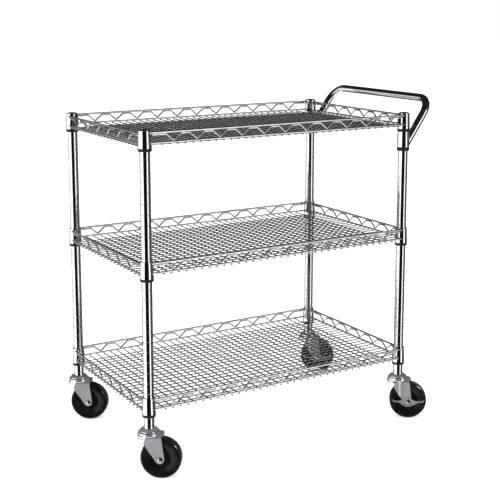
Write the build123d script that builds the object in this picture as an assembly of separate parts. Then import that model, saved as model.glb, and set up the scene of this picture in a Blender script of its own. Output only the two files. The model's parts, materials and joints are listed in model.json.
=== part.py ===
from build123d import *
import math
import os

# Wire shelf cart: four grooved posts, three wire shelves held by split sleeves, a push handle
# and four swivel casters, two of them with a side brake.
# Frame: millimetres, origin on the floor midway between the four posts, +X towards the push
# handle, +Y across the cart, +Z up.

# ---------------------------------------------------------------- driving dimensions
POST_SPACING_X = 736.0
POST_SPACING_Y = 430.0
SHELF_TOPS = {"bottom": 194.5, "middle": 519.5, "top": 819.5}

POST_RADIUS = 12.5
POST_WALL = 1.2
POST_BOTTOM = 120.0
POST_TOP = 820.0
GROOVE_PITCH = 25.0
GROOVE_WIDTH = 3.0
GROOVE_DEPTH = 0.6
GROOVE_DROP = 15.0  # from a shelf's collar top down to the groove its sleeve grips

COLLAR_HEIGHT = 39.5
COLLAR_TOP_RADIUS = 15.0
COLLAR_BOTTOM_RADIUS = 16.5
COLLAR_WALL = 1.5
SLEEVE_LIP_HEIGHT = 7.3
SLEEVE_LIP_RADIUS = 16.2
SLEEVE_SEAM = 0.8
SLEEVE_RIB_HEIGHT = 1.8

RAIL_RADIUS = 2.5
RAIL_OFFSET = 11.0  # rails lie this far outside the post centre lines
LONG_RAIL_DROPS = (4.5, 28.1)  # rail centres below the collar top, long sides
SHORT_RAIL_DROPS = (7.1, 30.7)  # the same, short sides
ZIGZAG_RADIUS = 2.1
ZIGZAG_PITCH = 60.1
ZIGZAG_FLAT = 23.0
ZIGZAG_BEND = 3.2
ZIGZAG_END = 13.0  # the truss wire stops this far short of a post axis, beside the collar
LONG_SIDE_VEES = 11
SHORT_SIDE_VEES = 6

DECK_WIRE_RADIUS = 1.5
DECK_WIRE_OVERHANG = 3.5  # beyond the rail centre
CROSS_WIRE_PITCH = 20.0
CROSS_WIRE_COUNT = 34
LONG_WIRE_PITCH = 19.6
LONG_WIRE_COUNT = 21

HANDLE_RADIUS = 10.0
HANDLE_WALL = 1.5
HANDLE_BEND = 45.0
HANDLE_REACH = 90.3  # grip axis beyond the post centre line
HANDLE_GRIP_Z = 852.1
HANDLE_SLOPE = 54.4  # degrees above the horizontal
HANDLE_COLLAR_TOP = 772.1
HANDLE_SLEEVE_TOP = SHELF_TOPS["top"] - 2 * GROOVE_PITCH  # its collar rides a little up the taper
HANDLE_ARM_START_Z = 741.5

WHEEL_RADIUS = 49.0
WHEEL_HALF_WIDTH = 15.0
TREAD_INNER_RADIUS = 38.0
CASTER_TRAIL = 28.0
SWIVEL_ANGLE = 36.0  # degrees the wheels trail towards -Y from +X, at rest
FORK_GAP = 17.0  # half the width between the legs
PLATE = 2.5  # thickness of the fork's pressed steel
AXLE_RADIUS = 4.0
AXLE_BUSH_RADIUS = 6.0
RUNNING_FIT = 0.05
CROWN_UNDERSIDE = 104.0
DISH_RADIUS = 25.0
BALL_RADIUS = 3.0
BALL_CIRCLE = 17.5
BALL_COUNT = 16
KINGPIN_RADIUS = 5.0
STEM_RADIUS = 6.0
STEM_TOP = 152.0
STEM_BORE_TOP = 148.0  # upper end of the threaded plug in the post
CROWN_END_RADIUS = 36.0  # rounded end of the crown over the wheel, from the swivel axis
CROWN_FRONT = -16.0
LIP_ARC = 130.0  # degrees of the crown's edge that carry the curled lip
LEG_END_RADIUS = 11.0
LEG_FRONT_X = -12.0
LEG_STEP = 2.6  # the front of a leg stands this far outside its flat lower part
LEG_STEP_X = (2.5, 8.0)  # where the step bends
LEG_FLARE = 0.8
AXLE_HEAD_RADIUS = 6.6
AXLE_HEAD_HEIGHT = 4.4
AXLE_SOCKET_RADIUS = 2.2
AXLE_SOCKET_FLOOR = 2.0
AXLE_THREAD_END = 8.0  # beyond the far leg
NUT_ACROSS = 6.5  # half the width across flats
NUT_HEIGHT = 5.5
NUT_CROWN_RADIUS = 5.6
NUT_TOP = 7.5
BRAKE_FACE = 21.0  # the pedal's inner face, from the caster's middle plane
BRAKE_CLEARANCE = 0.3
CAM_RADIUS = 10.0
PEDAL_PLATE = 1.8
PEDAL_DEPTH = 8.0
PEDAL_BELLY = ((-42, 3.5), (-36, 0.5), (-26, 0), (-14, -7.0), (-5, -11.5))  # left half, from the axle
PEDAL_RIDGE = ((-26, 1.0), (-14, 3.5), (-5, 9.5))
PEDAL_PLATE_FOOT = ((-14, -6.0), (-5, -10.5))
BRAKED = ("front_right", "back_right")
CLEAR = 40.0  # length of a cutting tool that only has to pass through

CORNERS = {
    "front_left": (-POST_SPACING_X / 2, -POST_SPACING_Y / 2),
    "front_right": (POST_SPACING_X / 2, -POST_SPACING_Y / 2),
    "back_left": (-POST_SPACING_X / 2, POST_SPACING_Y / 2),
    "back_right": (POST_SPACING_X / 2, POST_SPACING_Y / 2),
}
AXLE_Z = WHEEL_RADIUS


# ---------------------------------------------------------------- shape helpers
UPRIGHT = (Align.CENTER, Align.CENTER, Align.MIN)


def cylinder(radius, low, high):
    """Upright cylinder on the Z axis between two heights."""
    return Pos(0, 0, low) * Cylinder(radius, high - low, align=UPRIGHT)


def cone(low_radius, high_radius, low, high):
    """Upright cone frustum on the Z axis between two heights."""
    return Pos(0, 0, low) * Cone(low_radius, high_radius, high - low, align=UPRIGHT)


def turned(points, arc=360.0):
    """Solid of revolution about Z of an outline of (radius, height) points."""
    outline = Polyline(*[(radius, 0, height) for radius, height in points], close=True)
    return revolve(make_face(outline), Axis.Z, arc)


def rod(start, end, radius):
    """Straight round bar between two points."""
    along = Vector(*end) - Vector(*start)
    return Solid.make_cylinder(radius, along.length, Plane(origin=start, z_dir=along))


def bent_bar(points, bend, radius):
    """Round bar along a run of points with every corner bent to one radius."""
    path = FilletPolyline(*points, radius=bend)
    return sweep(Plane(origin=path @ 0, z_dir=path % 0) * Circle(radius), path=path)


def side_plate(outline, near, far):
    """Flat plate from an (x, z) outline, between two distances across the caster."""
    face = make_face(Polyline(*[(x, near, z) for x, z in outline], close=True))
    return extrude(face, amount=far - near, dir=(0, 1, 0))


def cross_bar(radius, near, far):
    """Cylinder on the axle's line between two distances across the caster."""
    return rod((CASTER_TRAIL, near, AXLE_Z), (CASTER_TRAIL, far, AXLE_Z), radius)


def at_corners(shape, corners=CORNERS.values()):
    """Copies of a shape at the posts."""
    return [Pos(x, y, 0) * shape for x, y in corners]


def write(node, *shapes):
    """One STEP file holding every solid of a node."""
    solids = [solid for shape in shapes for solid in shape.solids()]
    export_step(Compound(solids) if len(solids) > 1 else solids[0], f"parts/{node}.step")


# ---------------------------------------------------------------- posts
def post():
    """Tube with a ring groove at every shelf step."""
    outline = [(POST_RADIUS - POST_WALL, POST_BOTTOM), (POST_RADIUS, POST_BOTTOM)]
    half = GROOVE_WIDTH / 2
    floor = POST_RADIUS - GROOVE_DEPTH
    first = SHELF_TOPS["bottom"] - GROOVE_DROP - 2 * GROOVE_PITCH
    grooves = int((POST_TOP - first) / GROOVE_PITCH) + 1
    for step in range(grooves):
        height = first + step * GROOVE_PITCH
        outline += [
            (POST_RADIUS, height - half),
            (floor, height - half + GROOVE_DEPTH),
            (floor, height + half - GROOVE_DEPTH),
            (POST_RADIUS, height + half),
        ]
    outline += [(POST_RADIUS, POST_TOP), (POST_RADIUS - POST_WALL, POST_TOP)]
    return turned(outline)


def post_cap():
    """Low domed cap with a plug that fills the tube's mouth."""
    plug = POST_RADIUS - POST_WALL
    return turned([
        (0, POST_TOP - 10), (plug, POST_TOP - 10), (plug, POST_TOP), (12.2, POST_TOP),
        (12.2, POST_TOP + 0.8), (10.5, POST_TOP + 1.8), (0, POST_TOP + 2.3),
    ])


def stem_insert():
    """Threaded plug pressed into the foot of a post."""
    plug = cylinder(POST_RADIUS - POST_WALL, POST_BOTTOM, STEM_BORE_TOP)
    return plug - cylinder(STEM_RADIUS, POST_BOTTOM, STEM_BORE_TOP)


# ---------------------------------------------------------------- shelf collars and split sleeves
def collar(top):
    """Tapered chrome collar, hollow for the split sleeve."""
    bottom = top - COLLAR_HEIGHT
    outside = cone(COLLAR_BOTTOM_RADIUS, COLLAR_TOP_RADIUS, bottom, top)
    inside = cone(COLLAR_BOTTOM_RADIUS - COLLAR_WALL, COLLAR_TOP_RADIUS - COLLAR_WALL, bottom, top)
    return outside - inside


def split_sleeve(top):
    """Two half sleeves wedged between post and collar, each with a rib in a post groove."""
    bottom = top - COLLAR_HEIGHT
    rib = top - GROOVE_DROP
    half_rib = SLEEVE_RIB_HEIGHT / 2
    sleeve = turned([
        (POST_RADIUS, top), (COLLAR_TOP_RADIUS - COLLAR_WALL, top),
        (COLLAR_BOTTOM_RADIUS - COLLAR_WALL, bottom), (SLEEVE_LIP_RADIUS, bottom),
        (SLEEVE_LIP_RADIUS, bottom - SLEEVE_LIP_HEIGHT + 1),
        (SLEEVE_LIP_RADIUS - 1, bottom - SLEEVE_LIP_HEIGHT),
        (POST_RADIUS, bottom - SLEEVE_LIP_HEIGHT), (POST_RADIUS, rib - half_rib),
        (POST_RADIUS - GROOVE_DEPTH + 0.1, rib - half_rib + 0.5),
        (POST_RADIUS - GROOVE_DEPTH + 0.1, rib + half_rib - 0.5), (POST_RADIUS, rib + half_rib),
    ])
    return sleeve - Pos(0, 0, top) * Box(60, SLEEVE_SEAM, 200)


def collar_envelopes(top, corners=CORNERS.values()):
    """Solid cones that trim the bars butted against the collars."""
    bottom = top - COLLAR_HEIGHT
    return at_corners(cone(COLLAR_BOTTOM_RADIUS, COLLAR_TOP_RADIUS, bottom, top), corners)


# ---------------------------------------------------------------- wire shelves
def long_rail(top, side, drop):
    """Rail along X on one long side, butted on two collars."""
    y = side * (POST_SPACING_Y / 2 + RAIL_OFFSET)
    z = top - drop
    bar = rod((-POST_SPACING_X / 2, y, z), (POST_SPACING_X / 2, y, z), RAIL_RADIUS)
    return bar - collar_envelopes(top, [c for c in CORNERS.values() if c[1] * side > 0])


def short_rail(top, side, drop):
    """Rail along Y on one short side, butted on two collars."""
    x = side * (POST_SPACING_X / 2 + RAIL_OFFSET)
    z = top - drop
    bar = rod((x, -POST_SPACING_Y / 2, z), (x, POST_SPACING_Y / 2, z), RAIL_RADIUS)
    return bar - collar_envelopes(top, [c for c in CORNERS.values() if c[0] * side > 0])


def zigzag_outline(count, upper_rail, lower_rail, half_span):
    """(distance along, height) of the truss wire: vees on the lower rail, flats under the upper."""
    leg = (ZIGZAG_PITCH - ZIGZAG_FLAT) / 2
    crest = upper_rail - RAIL_RADIUS - ZIGZAG_RADIUS
    slope = math.atan2(crest - lower_rail - RAIL_RADIUS - ZIGZAG_RADIUS, leg)
    rounding = ZIGZAG_BEND * (1 / math.cos(slope) - 1)
    valley = lower_rail + RAIL_RADIUS + ZIGZAG_RADIUS - rounding
    points = [(-half_span, crest)]
    for index in range(count):
        centre = (index - (count - 1) / 2) * ZIGZAG_PITCH
        points += [(centre - leg, crest), (centre, valley), (centre + leg, crest)]
    points.append((half_span, crest))
    return points


def zigzag_wires(top):
    """Truss wire on each of the four sides of a shelf."""
    wires = []
    for side in (-1, 1):
        y = side * (POST_SPACING_Y / 2 + RAIL_OFFSET)
        upper, lower = [top - drop for drop in LONG_RAIL_DROPS]
        outline = zigzag_outline(LONG_SIDE_VEES, upper, lower, POST_SPACING_X / 2 - ZIGZAG_END)
        wires.append(bent_bar([(x, y, z) for x, z in outline], ZIGZAG_BEND, ZIGZAG_RADIUS))
    for side in (-1, 1):
        x = side * (POST_SPACING_X / 2 + RAIL_OFFSET)
        upper, lower = [top - drop for drop in SHORT_RAIL_DROPS]
        outline = zigzag_outline(SHORT_SIDE_VEES, upper, lower, POST_SPACING_Y / 2 - ZIGZAG_END)
        wires.append(bent_bar([(x, y, z) for y, z in outline], ZIGZAG_BEND, ZIGZAG_RADIUS))
    return wires


def deck_wires(top):
    """Cross wires under the long rails, and long wires welded under the cross wires."""
    cross_z = top - LONG_RAIL_DROPS[1] - RAIL_RADIUS - DECK_WIRE_RADIUS
    long_z = cross_z - 2 * DECK_WIRE_RADIUS
    reach_x = POST_SPACING_X / 2 + RAIL_OFFSET + DECK_WIRE_OVERHANG
    reach_y = POST_SPACING_Y / 2 + RAIL_OFFSET + DECK_WIRE_OVERHANG
    cross = []
    for index in range(CROSS_WIRE_COUNT):
        x = (index - (CROSS_WIRE_COUNT - 1) / 2) * CROSS_WIRE_PITCH
        cross.append(rod((x, -reach_y, cross_z), (x, reach_y, cross_z), DECK_WIRE_RADIUS))
    long = []
    for index in range(LONG_WIRE_COUNT):
        y = (index - (LONG_WIRE_COUNT - 1) / 2) * LONG_WIRE_PITCH
        long.append(rod((-reach_x, y, long_z), (reach_x, y, long_z), DECK_WIRE_RADIUS))
    return cross, long


def write_shelf(level, top):
    """The nodes of one shelf."""
    rails = [long_rail(top, side, drop) for side in (-1, 1) for drop in LONG_RAIL_DROPS]
    rails += [short_rail(top, side, drop) for side in (-1, 1) for drop in SHORT_RAIL_DROPS]
    cross, long = deck_wires(top)
    write(f"{level}_shelf_collars", *at_corners(collar(top)))
    write(f"{level}_shelf_rails", *rails)
    write(f"{level}_shelf_zigzag_wires", *zigzag_wires(top))
    write(f"{level}_shelf_cross_wires", *cross)
    write(f"{level}_shelf_long_wires", *long)


# ---------------------------------------------------------------- push handle
def handle_bar():
    """Bent tube: two sloping arms and the grip between them, trimmed to its collars."""
    right = POST_SPACING_X / 2
    grip_x = right + HANDLE_REACH
    rise = HANDLE_GRIP_Z - HANDLE_ARM_START_Z
    start_x = grip_x - rise / math.tan(math.radians(HANDLE_SLOPE))
    half = POST_SPACING_Y / 2
    route = [
        (start_x, -half, HANDLE_ARM_START_Z), (grip_x, -half, HANDLE_GRIP_Z),
        (grip_x, half, HANDLE_GRIP_Z), (start_x, half, HANDLE_ARM_START_Z),
    ]
    tube = bent_bar(route, HANDLE_BEND, HANDLE_RADIUS)
    tube -= bent_bar(route, HANDLE_BEND, HANDLE_RADIUS - HANDLE_WALL)
    return tube - collar_envelopes(HANDLE_COLLAR_TOP, handle_corners())


def handle_corners():
    return [CORNERS["front_right"], CORNERS["back_right"]]


# ---------------------------------------------------------------- casters
# Each caster is drawn with its swivel axis on Z, the wheel trailing towards +X and the axle
# along Y, then turned and moved to its post.
def caster_stem():
    """Threaded stem with the fixed race and the kingpin, its head peened under the fork."""
    race_low = 113.0
    return turned([
        (0, 100.8), (7.0, 100.8), (8.0, 101.8), (8.0, CROWN_UNDERSIDE - 0.3),
        (KINGPIN_RADIUS, CROWN_UNDERSIDE - 0.3), (KINGPIN_RADIUS, race_low), (14.0, race_low),
        (22.5, race_low), (22.5, 115.5), (20.5, 118.0), (13.5, POST_BOTTOM), (STEM_RADIUS, POST_BOTTOM),
        (STEM_RADIUS, STEM_TOP - 1), (STEM_RADIUS - 1, STEM_TOP), (0, STEM_TOP),
    ])


def caster_balls():
    """Ring of bearing balls between the fork's dish and the fixed race."""
    height = CROWN_UNDERSIDE + PLATE + BALL_RADIUS
    step = 360 / BALL_COUNT
    ball = Pos(BALL_CIRCLE, 0, height) * Sphere(BALL_RADIUS)
    return [Rot(0, 0, index * step) * ball for index in range(BALL_COUNT)]


def fork():
    """Pressed steel fork: dished crown with a curled front lip, and two tapering legs."""
    crown_top = CROWN_UNDERSIDE + PLATE
    outer = FORK_GAP + PLATE
    dish = turned([
        (KINGPIN_RADIUS + RUNNING_FIT, CROWN_UNDERSIDE), (DISH_RADIUS - 2, CROWN_UNDERSIDE),
        (DISH_RADIUS + 1, 107.0), (DISH_RADIUS + 1, 111.5), (DISH_RADIUS, 112.5),
        (DISH_RADIUS - 1.5, 112.5), (DISH_RADIUS - 1.5, 108.5), (DISH_RADIUS - 3, crown_top),
        (KINGPIN_RADIUS + RUNNING_FIT, crown_top),
    ])
    lip = turned([
        (23.5, 105.0), (25.6, 107.2), (27.6, 105.8), (28.4, 101.5), (27.2, 97.6), (26.0, 98.2),
        (26.9, 101.5), (26.3, 104.3), (25.0, 104.6),
    ], LIP_ARC)
    lip = Rot(0, 0, 180 - LIP_ARC / 2) * lip
    slab = Box(CROWN_END_RADIUS - CROWN_FRONT, 2 * outer, PLATE, align=(Align.MIN, Align.CENTER, Align.MIN))
    deck = Pos(CROWN_FRONT, 0, CROWN_UNDERSIDE) * slab
    deck &= cylinder(CROWN_END_RADIUS, CROWN_UNDERSIDE, crown_top)
    deck -= cylinder(KINGPIN_RADIUS + RUNNING_FIT, CROWN_UNDERSIDE, crown_top)
    body = dish + deck + lip
    return body + fork_leg() + mirror(fork_leg(), Plane.XZ)


def fork_leg():
    """One leg: outline seen from the side, on a plate whose front part steps outwards."""
    end_centre = (CASTER_TRAIL - 1.5, AXLE_Z + 0.5)
    crown_top = CROWN_UNDERSIDE + PLATE
    front_top = (-4.5, crown_top)
    front_knee = (-11.0, 89.0)
    back_top = (30.5, crown_top)
    front_tangent = tangent_point(front_knee, end_centre, LEG_END_RADIUS, -1)
    back_tangent = tangent_point(back_top, end_centre, LEG_END_RADIUS, 1)
    corners = (back_tangent, back_top, front_top, front_knee, front_tangent)
    edge = Polyline(*[(x, 0, z) for x, z in corners])
    lowest = (end_centre[0], 0, end_centre[1] - LEG_END_RADIUS)
    nose = ThreePointArc(edge @ 1, lowest, edge @ 0)
    side = make_face([*edge.edges(), *nose.edges()])
    outline = extrude(side, amount=-CLEAR, dir=(0, 1, 0))
    front, back = LEG_STEP_X
    run = [(LEG_FRONT_X, LEG_STEP + LEG_FLARE), (front, LEG_STEP), (back, 0), (CLEAR, 0)]
    plan = [(x, -FORK_GAP - step) for x, step in run]
    plan += [(x, -FORK_GAP - PLATE - step) for x, step in reversed(run)]
    low = AXLE_Z - 2 * LEG_END_RADIUS
    sheet = make_face(Polyline(*[(x, y, low) for x, y in plan], close=True))
    leg = extrude(sheet, amount=crown_top - low, dir=(0, 0, 1)) & outline
    return leg - cross_bar(AXLE_RADIUS, -CLEAR, 0)


def tangent_point(point, centre, radius, side):
    """Where the line from a point touches a circle, on the chosen side."""
    dx, dz = point[0] - centre[0], point[1] - centre[1]
    distance = math.hypot(dx, dz)
    angle = math.atan2(dz, dx) - side * math.acos(radius / distance)
    return centre[0] + radius * math.cos(angle), centre[1] + radius * math.sin(angle)


def on_axle(shape):
    """Move a solid turned about Z onto the axle, its +Z end to the far side."""
    return Pos(CASTER_TRAIL, 0, AXLE_Z) * Rot(-90, 0, 0) * shape


def tyre():
    """Rubber tread: flat sidewalls, rounded shoulders and a slightly crowned face."""
    half = WHEEL_HALF_WIDTH
    wall = (TREAD_INNER_RADIUS + 2, WHEEL_RADIUS - 5)
    shoulder = (WHEEL_RADIUS - 1.4, half - 2.1)
    crown = (WHEEL_RADIUS - 0.2, half - 5.5)
    inner = TREAD_INNER_RADIUS
    pieces = [
        Polyline((inner, 0, 1 - half), (wall[0], 0, -half), (wall[1], 0, -half)),
        ThreePointArc((wall[1], 0, -half), (shoulder[0], 0, -shoulder[1]), (crown[0], 0, -crown[1])),
        ThreePointArc((crown[0], 0, -crown[1]), (WHEEL_RADIUS, 0, 0), (crown[0], 0, crown[1])),
        ThreePointArc((crown[0], 0, crown[1]), (shoulder[0], 0, shoulder[1]), (wall[1], 0, half)),
        Polyline((wall[1], 0, half), (wall[0], 0, half), (inner, 0, half - 1), (inner, 0, 1 - half)),
    ]
    profile = make_face([edge for piece in pieces for edge in piece.edges()])
    return on_axle(revolve(profile, Axis.Z))


def wheel_hub():
    """Moulded hub: rim, dished web and a boss that runs on the axle bush."""
    bore = AXLE_BUSH_RADIUS + RUNNING_FIT
    rim = WHEEL_HALF_WIDTH - 1
    boss = FORK_GAP - 0.5
    side = [
        (bore, boss), (12.0, boss), (14.0, 10.5), (24.0, 10.0), (33.0, 13.2), (36.0, rim),
        (TREAD_INNER_RADIUS, rim),
    ]
    return on_axle(turned(side + [(radius, -height) for radius, height in reversed(side)]))


def axle_bolt(head_face):
    """Bolt through both legs: domed socket head on the near side, thread on the far side."""
    top = head_face + AXLE_HEAD_HEIGHT
    floor = head_face + AXLE_SOCKET_FLOOR
    head = Rot(180, 0, 0) * turned([
        (0, head_face), (AXLE_HEAD_RADIUS, head_face), (AXLE_HEAD_RADIUS, head_face + 1.6),
        (5.2, head_face + 3.6), (AXLE_SOCKET_RADIUS + 0.4, top), (AXLE_SOCKET_RADIUS, top),
        (AXLE_SOCKET_RADIUS, floor), (0, floor),
    ])
    shank = cylinder(AXLE_RADIUS, -head_face, FORK_GAP + PLATE + AXLE_THREAD_END)
    return on_axle(head + shank)


def axle_nut():
    """Hexagon lock nut outside the far leg."""
    flats = extrude(RegularPolygon(NUT_ACROSS, 6, major_radius=False), amount=NUT_HEIGHT)
    crown = cylinder(NUT_CROWN_RADIUS, NUT_HEIGHT, NUT_TOP)
    nut = flats + crown - cylinder(AXLE_RADIUS, 0, NUT_TOP)
    return on_axle(Pos(0, 0, FORK_GAP + PLATE) * nut)


def axle_bush():
    """Spacer tube clamped between the legs; the wheel turns on it."""
    tube = cylinder(AXLE_BUSH_RADIUS, -FORK_GAP, FORK_GAP) - cylinder(AXLE_RADIUS, -FORK_GAP, FORK_GAP)
    return on_axle(tube)


def brake_cam():
    """Washer on the near leg that the pedal's plate turns against."""
    ring = cross_bar(CAM_RADIUS, -BRAKE_FACE + BRAKE_CLEARANCE, -FORK_GAP - PLATE)
    return ring - cross_bar(AXLE_RADIUS, -CLEAR, 0)


def brake_pedal():
    """Boat-shaped pressing on the axle bolt: a belly flange that runs out into two toe wings."""
    belly = both_ways(PEDAL_BELLY)
    upper = [(x, z + PEDAL_PLATE) for x, z in reversed(belly)]
    flange = side_plate(from_axle(belly + upper), -BRAKE_FACE - PEDAL_DEPTH, -BRAKE_FACE)
    ridge = both_ways(PEDAL_RIDGE)
    foot = both_ways(PEDAL_PLATE_FOOT)
    plate = side_plate(from_axle(ridge + foot[::-1]), -BRAKE_FACE - PEDAL_PLATE, -BRAKE_FACE)
    return flange + plate - cross_bar(AXLE_RADIUS + RUNNING_FIT, -CLEAR, 0)


def both_ways(half):
    """A left half outline followed by its mirror image."""
    return list(half) + [(-x, z) for x, z in reversed(half)]


def from_axle(points):
    """Outline points moved from the axle to the caster's frame."""
    return [(CASTER_TRAIL + x, AXLE_Z + z) for x, z in points]


def write_caster(corner, x, y):
    """The nodes of one caster, turned to its resting swivel angle under its post."""
    place = Pos(x, y, 0) * Rot(0, 0, -SWIVEL_ANGLE)
    braked = corner in BRAKED
    head_face = BRAKE_FACE + PEDAL_PLATE + BRAKE_CLEARANCE if braked else FORK_GAP + PLATE
    write(f"{corner}_caster_stem", place * caster_stem())
    write(f"{corner}_caster_balls", *[place * ball for ball in caster_balls()])
    write(f"{corner}_caster_fork", place * fork())
    write(f"{corner}_wheel_hub", place * wheel_hub())
    write(f"{corner}_wheel_tyre", place * tyre())
    write(f"{corner}_axle_bush", place * axle_bush())
    write(f"{corner}_axle_bolt", place * axle_bolt(head_face))
    write(f"{corner}_axle_nut", place * axle_nut())
    if braked:
        write(f"{corner}_brake_cam", place * brake_cam())
        write(f"{corner}_brake_pedal", place * brake_pedal())


# ---------------------------------------------------------------- all nodes
os.makedirs("parts", exist_ok=True)

for corner, (x, y) in CORNERS.items():
    write(f"{corner}_post", Pos(x, y, 0) * post())
    write_caster(corner, x, y)
write("post_caps", *at_corners(post_cap()))
write("stem_inserts", *at_corners(stem_insert()))

for level, top in SHELF_TOPS.items():
    write_shelf(level, top)

write("handle_bar", handle_bar())
write("handle_collars", *at_corners(collar(HANDLE_COLLAR_TOP), handle_corners()))

sleeves = [sleeve for top in SHELF_TOPS.values() for sleeve in at_corners(split_sleeve(top))]
sleeves += at_corners(split_sleeve(HANDLE_SLEEVE_TOP), handle_corners())
write("split_sleeves", *sleeves)
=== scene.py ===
import json
import math

import bpy
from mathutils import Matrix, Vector


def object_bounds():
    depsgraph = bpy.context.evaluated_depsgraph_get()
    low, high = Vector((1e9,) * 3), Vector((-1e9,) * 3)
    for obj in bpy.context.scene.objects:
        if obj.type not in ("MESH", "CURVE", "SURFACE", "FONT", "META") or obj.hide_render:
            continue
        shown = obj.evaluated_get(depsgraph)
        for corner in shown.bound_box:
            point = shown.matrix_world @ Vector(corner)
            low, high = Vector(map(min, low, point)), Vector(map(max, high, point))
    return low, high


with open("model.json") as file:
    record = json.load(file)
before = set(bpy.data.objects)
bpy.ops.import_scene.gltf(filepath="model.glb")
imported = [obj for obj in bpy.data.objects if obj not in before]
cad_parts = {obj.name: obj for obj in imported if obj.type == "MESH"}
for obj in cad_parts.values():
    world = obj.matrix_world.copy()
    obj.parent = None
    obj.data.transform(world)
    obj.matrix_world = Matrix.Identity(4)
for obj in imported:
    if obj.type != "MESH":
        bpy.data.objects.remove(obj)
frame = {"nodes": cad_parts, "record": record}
CAD_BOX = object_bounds()
NODES = frame["nodes"]

# ---------------------------------------------------------------- viewpoint and studio
# Metres and degrees.
CAMERA_PLACE = (-1.4188, -2.4339, 1.1149)
CAMERA_YAW = 30.858
CAMERA_PITCH = 9.72
CAMERA_LENS = 79.2
CAMERA_SHIFT = -0.13
FLOOR_SIZE = 40.0

# Sockets of the colour mix node.
MIX_FACTOR = 0
MIX_FIRST = 6
MIX_SECOND = 7
MIX_RESULT = 2

# Height above which the casters' zinc plate is polished (metres).
POLISHED_FROM = 0.099
POLISHED_EDGE = 0.003

# The studio seen in the chrome, by azimuth from the line back to the camera: negative is to the
# camera's left. Each entry is (where a band starts, its brightness).
STUDIO_BANDS = [
    (-180, 0.10), (-126, 0.95), (-92, 1.5), (-30, 0.006), (44, 1.4), (71, 0.06), (150, 0.3),
]
BAND_EDGE = 2.0  # degrees over which one band turns into the next
# The dark ceiling hangs lower on the left: its edge by height plus a tilt to the side.
CEILING_START = 0.236
CEILING_EDGE = 0.10
CEILING_TILT = 0.17
CEILING_LEVEL = 0.015
# The studio floor seen steeply from above is bright.
FLOOR_START = -0.62
FLOOR_EDGE = 0.10
FLOOR_LEVEL = 1.2


# ---------------------------------------------------------------- node helpers
def new_material(name):
    """Empty node material with a Principled shader wired to its output."""
    material = bpy.data.materials.new(name)
    material.use_nodes = True
    tree = material.node_tree
    shader = tree.nodes["Principled BSDF"]
    return material, tree, shader


def noise(tree, scale, detail=3.0, stretch=(1, 1, 1)):
    """Noise in the object's own space, stretched along an axis if asked."""
    place = tree.nodes.new("ShaderNodeTexCoord")
    mapping = tree.nodes.new("ShaderNodeMapping")
    mapping.inputs["Scale"].default_value = stretch
    texture = tree.nodes.new("ShaderNodeTexNoise")
    texture.inputs["Scale"].default_value = scale
    texture.inputs["Detail"].default_value = detail
    tree.links.new(place.outputs["Object"], mapping.inputs["Vector"])
    tree.links.new(mapping.outputs["Vector"], texture.inputs["Vector"])
    return texture.outputs["Fac"]


def ramp(tree, value, low, high):
    """Colour ramp between two (position, colour) stops."""
    node = tree.nodes.new("ShaderNodeValToRGB")
    for stop, (position, colour) in zip(node.color_ramp.elements, (low, high)):
        stop.position = position
        stop.color = (*colour, 1)
    tree.links.new(value, node.inputs["Fac"])
    return node.outputs["Color"]


def spread(tree, value, low, high):
    """Map a 0 to 1 value onto a range."""
    node = tree.nodes.new("ShaderNodeMapRange")
    node.inputs["To Min"].default_value = low
    node.inputs["To Max"].default_value = high
    tree.links.new(value, node.inputs["Value"])
    return node.outputs["Result"]


def mix_colours(tree, factor, first, second):
    """Blend from one colour to another; each is a socket or a grey level."""
    node = tree.nodes.new("ShaderNodeMix")
    node.data_type = "RGBA"
    tree.links.new(factor, node.inputs[MIX_FACTOR])
    for slot, colour in ((MIX_FIRST, first), (MIX_SECOND, second)):
        if isinstance(colour, float):
            node.inputs[slot].default_value = (colour, colour, colour, 1)
        else:
            tree.links.new(colour, node.inputs[slot])
    return node.outputs[MIX_RESULT]


def step(tree, value, start, end):
    """Rise from 0 to 1 as a value goes from start to end."""
    node = tree.nodes.new("ShaderNodeMapRange")
    node.inputs["From Min"].default_value = start
    node.inputs["From Max"].default_value = end
    tree.links.new(value, node.inputs["Value"])
    return node.outputs["Result"]


def bump(tree, shader, height, strength, distance):
    """Bump from a height value."""
    node = tree.nodes.new("ShaderNodeBump")
    node.inputs["Strength"].default_value = strength
    node.inputs["Distance"].default_value = distance
    tree.links.new(height, node.inputs["Height"])
    tree.links.new(node.outputs["Normal"], shader.inputs["Normal"])


# ---------------------------------------------------------------- materials
def chrome(name, dark, light, polish, haze):
    """Bright plated steel: faint clouding in colour and polish."""
    material, tree, shader = new_material(name)
    shader.inputs["Metallic"].default_value = 1.0
    cloud = noise(tree, 35, 4)
    tree.links.new(ramp(tree, cloud, (0.3, dark), (0.7, light)), shader.inputs["Base Color"])
    tree.links.new(spread(tree, cloud, polish, haze), shader.inputs["Roughness"])
    bump(tree, shader, noise(tree, 260, 2), 0.02, 0.0004)
    return material


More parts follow.
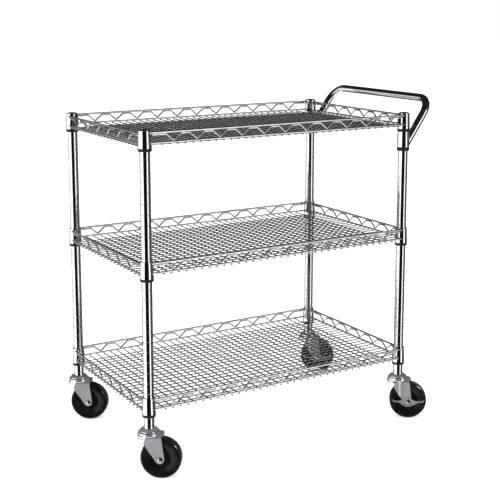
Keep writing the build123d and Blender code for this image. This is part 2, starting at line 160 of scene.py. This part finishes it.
def zinc(name):
    """Zinc plate on pressed steel: satin legs, and a polished crown above POLISHED_FROM."""
    material, tree, shader = new_material(name)
    cloud = noise(tree, 60, 5)
    place = tree.nodes.new("ShaderNodeTexCoord")
    split = tree.nodes.new("ShaderNodeSeparateXYZ")
    tree.links.new(place.outputs["Object"], split.inputs["Vector"])
    crown = step(tree, split.outputs["Z"], POLISHED_FROM, POLISHED_FROM + POLISHED_EDGE)
    satin = ramp(tree, cloud, (0.25, (0.38, 0.39, 0.385)), (0.75, (0.53, 0.54, 0.53)))
    polished = ramp(tree, cloud, (0.25, (0.66, 0.67, 0.74)), (0.75, (0.86, 0.87, 0.93)))
    tree.links.new(mix_colours(tree, crown, satin, polished), shader.inputs["Base Color"])
    tree.links.new(spread(tree, crown, 0.5, 0.85), shader.inputs["Metallic"])
    tree.links.new(spread(tree, crown, 0.24, 0.16), shader.inputs["Roughness"])
    bump(tree, shader, noise(tree, 700, 3), 0.12, 0.0003)
    return material


def bright_steel(name):
    """Turned and zinc-plated fasteners: fine rings of tool marks."""
    material, tree, shader = new_material(name)
    shader.inputs["Metallic"].default_value = 1.0
    marks = noise(tree, 300, 3, (1, 1, 6))
    colour = ramp(tree, marks, (0.3, (0.58, 0.58, 0.57)), (0.7, (0.82, 0.82, 0.81)))
    tree.links.new(colour, shader.inputs["Base Color"])
    tree.links.new(spread(tree, marks, 0.14, 0.28), shader.inputs["Roughness"])
    bump(tree, shader, marks, 0.05, 0.0002)
    return material


def moulded_black(name, dark, light, smooth, rough, grain):
    """Black polymer or rubber with a fine moulded grain and worn, dusty patches."""
    material, tree, shader = new_material(name)
    patches = noise(tree, 28, 4)
    tree.links.new(ramp(tree, patches, (0.35, dark), (0.75, light)), shader.inputs["Base Color"])
    tree.links.new(spread(tree, patches, smooth, rough), shader.inputs["Roughness"])
    shader.inputs["Specular IOR Level"].default_value = 0.2
    bump(tree, shader, noise(tree, grain, 3), 0.10, 0.0003)
    return material


def studio_floor(name):
    """Pale seamless paper."""
    material, tree, shader = new_material(name)
    paper = noise(tree, 8, 4)
    colour = ramp(tree, paper, (0.3, (0.90, 0.90, 0.90)), (0.7, (0.93, 0.93, 0.93)))
    tree.links.new(colour, shader.inputs["Base Color"])
    shader.inputs["Roughness"].default_value = 0.85
    shader.inputs["Specular IOR Level"].default_value = 0.0
    shader.inputs["Emission Color"].default_value = (1, 1, 1, 1)
    shader.inputs["Emission Strength"].default_value = 0.45
    return material


# (darker colour, lighter colour, roughness where darker, roughness where lighter)
CHROMES = {
    "chrome_tube": ((0.80, 0.80, 0.81), (0.90, 0.90, 0.90), 0.03, 0.07),
    "chrome_rail": ((0.55, 0.54, 0.54), (0.78, 0.77, 0.77), 0.05, 0.12),
    # the wires are the same chrome as the tube and rails; their much darker colour is painted
    # shade that darkens the deck wires
    "chrome_wire": ((0.20, 0.20, 0.20), (0.42, 0.42, 0.41), 0.06, 0.16),
}
# the same, and the scale of the grain
BLACKS = {
    "sleeve_plastic": ((0.006, 0.006, 0.006), (0.016, 0.016, 0.016), 0.3, 0.45, 900),
    "cap_plastic": ((0.012, 0.012, 0.012), (0.03, 0.03, 0.03), 0.3, 0.45, 900),
    "tread_rubber": ((0.003, 0.0035, 0.0035), (0.008, 0.009, 0.009), 0.08, 0.15, 500),
    "hub_plastic": ((0.003, 0.004, 0.005), (0.008, 0.010, 0.012), 0.12, 0.20, 600),
}


def slot_materials():
    """The finish of each material slot in the record."""
    finishes = {slot: chrome(f"{slot}_finish", *look) for slot, look in CHROMES.items()}
    finishes["zinc_steel"] = zinc("zinc_steel_finish")
    finishes["bright_steel"] = bright_steel("bright_steel_finish")
    for slot, look in BLACKS.items():
        finishes[slot] = moulded_black(f"{slot}_finish", *look)
    return finishes


def dress_nodes():
    """Give every CAD node the finish of its slot."""
    finishes = slot_materials()
    for part in frame["record"]["subparts"]:
        node = NODES[part["node"]]
        finish = finishes[part["material_slot"]]
        for slot in node.material_slots:
            slot.material = finish
        if not node.material_slots:
            node.data.materials.append(finish)


# ---------------------------------------------------------------- studio
def build_floor():
    bpy.ops.mesh.primitive_plane_add(size=FLOOR_SIZE, location=(0, 0, CAD_BOX[0][2]))
    floor = bpy.context.object
    floor.name = "studio_floor"
    floor.data.materials.append(studio_floor("studio_paper"))
    floor.visible_glossy = False  # the chrome shows the studio's bands below the horizon too


def build_world():
    """White studio for the camera; reflections see upright bands and a dark ceiling."""
    world = bpy.data.worlds.new("studio")
    bpy.context.scene.world = world
    world.use_nodes = True
    tree = world.node_tree
    tree.nodes.clear()
    out = tree.nodes.new("ShaderNodeOutputWorld")
    place = tree.nodes.new("ShaderNodeTexCoord")
    turn = tree.nodes.new("ShaderNodeVectorRotate")
    turn.rotation_type = "Z_AXIS"
    # after the turn, +X points from the cart back to the camera
    turn.inputs["Angle"].default_value = math.radians(90 + CAMERA_YAW)
    split = tree.nodes.new("ShaderNodeSeparateXYZ")
    tree.links.new(place.outputs["Generated"], turn.inputs["Vector"])
    tree.links.new(turn.outputs["Vector"], split.inputs["Vector"])

    azimuth = tree.nodes.new("ShaderNodeMath")
    azimuth.operation = "ARCTAN2"
    tree.links.new(split.outputs["Y"], azimuth.inputs[0])
    tree.links.new(split.outputs["X"], azimuth.inputs[1])
    around = step(tree, azimuth.outputs[0], -math.pi, math.pi)
    bands = tree.nodes.new("ShaderNodeValToRGB")
    edge = BAND_EDGE / 360
    elements = bands.color_ramp.elements
    previous = None
    stops = []
    for start, level in STUDIO_BANDS:
        position = (start + 180) / 360
        if previous is not None:
            stops.append((position - edge, previous))
        stops.append((position, level))
        previous = level
    stops.append((1.0, previous))
    while len(elements) < len(stops):
        elements.new(0.5)
    for element, (position, level) in zip(elements, stops):
        element.position = position
        element.color = (level, level, level, 1)
    tree.links.new(around, bands.inputs["Fac"])

    lean = tree.nodes.new("ShaderNodeMath")
    lean.operation = "MULTIPLY_ADD"
    lean.inputs[1].default_value = -CEILING_TILT
    tree.links.new(split.outputs["Y"], lean.inputs[0])
    tree.links.new(split.outputs["Z"], lean.inputs[2])
    ceiling = step(tree, lean.outputs[0], CEILING_START, CEILING_START + CEILING_EDGE)
    walls = mix_colours(tree, ceiling, bands.outputs["Color"], CEILING_LEVEL)
    ground = step(tree, split.outputs["Z"], FLOOR_START, FLOOR_START - FLOOR_EDGE)
    seen = mix_colours(tree, ground, walls, FLOOR_LEVEL)

    paths = tree.nodes.new("ShaderNodeLightPath")
    glossy = tree.nodes.new("ShaderNodeBackground")
    tree.links.new(seen, glossy.inputs["Color"])
    plain = tree.nodes.new("ShaderNodeBackground")
    plain.inputs["Color"].default_value = (1, 1, 1, 1)
    plain.inputs["Strength"].default_value = 1.0
    choose = tree.nodes.new("ShaderNodeMixShader")
    tree.links.new(paths.outputs["Is Glossy Ray"], choose.inputs["Fac"])
    tree.links.new(plain.outputs[0], choose.inputs[1])
    tree.links.new(glossy.outputs[0], choose.inputs[2])
    tree.links.new(choose.outputs[0], out.inputs["Surface"])


def add_light(name, place, target, size, power):
    """Soft rectangular lamp aimed at a point."""
    data = bpy.data.lights.new(name, "AREA")
    data.shape = "RECTANGLE"
    data.size, data.size_y = size
    data.energy = power
    lamp = bpy.data.objects.new(name, data)
    bpy.context.scene.collection.objects.link(lamp)
    lamp.location = place
    lamp.rotation_euler = (Vector(target) - Vector(place)).to_track_quat("-Z", "Y").to_euler()
    return lamp


def light_only_tyres(lamp):
    """Keep a lamp's highlight to the rubber."""
    rubber = bpy.data.collections.new("tyres")
    for part in frame["record"]["subparts"]:
        if part["material_slot"] == "tread_rubber":
            rubber.objects.link(NODES[part["node"]])
    lamp.light_linking.receiver_collection = rubber


def build_camera():
    data = bpy.data.cameras.new("camera")
    data.lens = CAMERA_LENS
    data.sensor_width = 36.0
    data.shift_y = CAMERA_SHIFT
    data.clip_end = 100
    camera = bpy.data.objects.new("camera", data)
    bpy.context.scene.collection.objects.link(camera)
    camera.location = CAMERA_PLACE
    camera.rotation_euler = (math.radians(90 - CAMERA_PITCH), 0, math.radians(-CAMERA_YAW))
    bpy.context.scene.camera = camera


dress_nodes()
build_floor()
build_world()
key = add_light("key_left", (-2.4, -1.6, 2.2), (0, 0, 0.4), (1.6, 1.2), 40)
key.visible_glossy = False
light_only_tyres(add_light("rim_right", (1.3, -1.9, 1.35), (0, -0.2, 0.1), (0.6, 0.6), 120))
build_camera()
bpy.context.scene.view_settings.view_transform = "Standard"
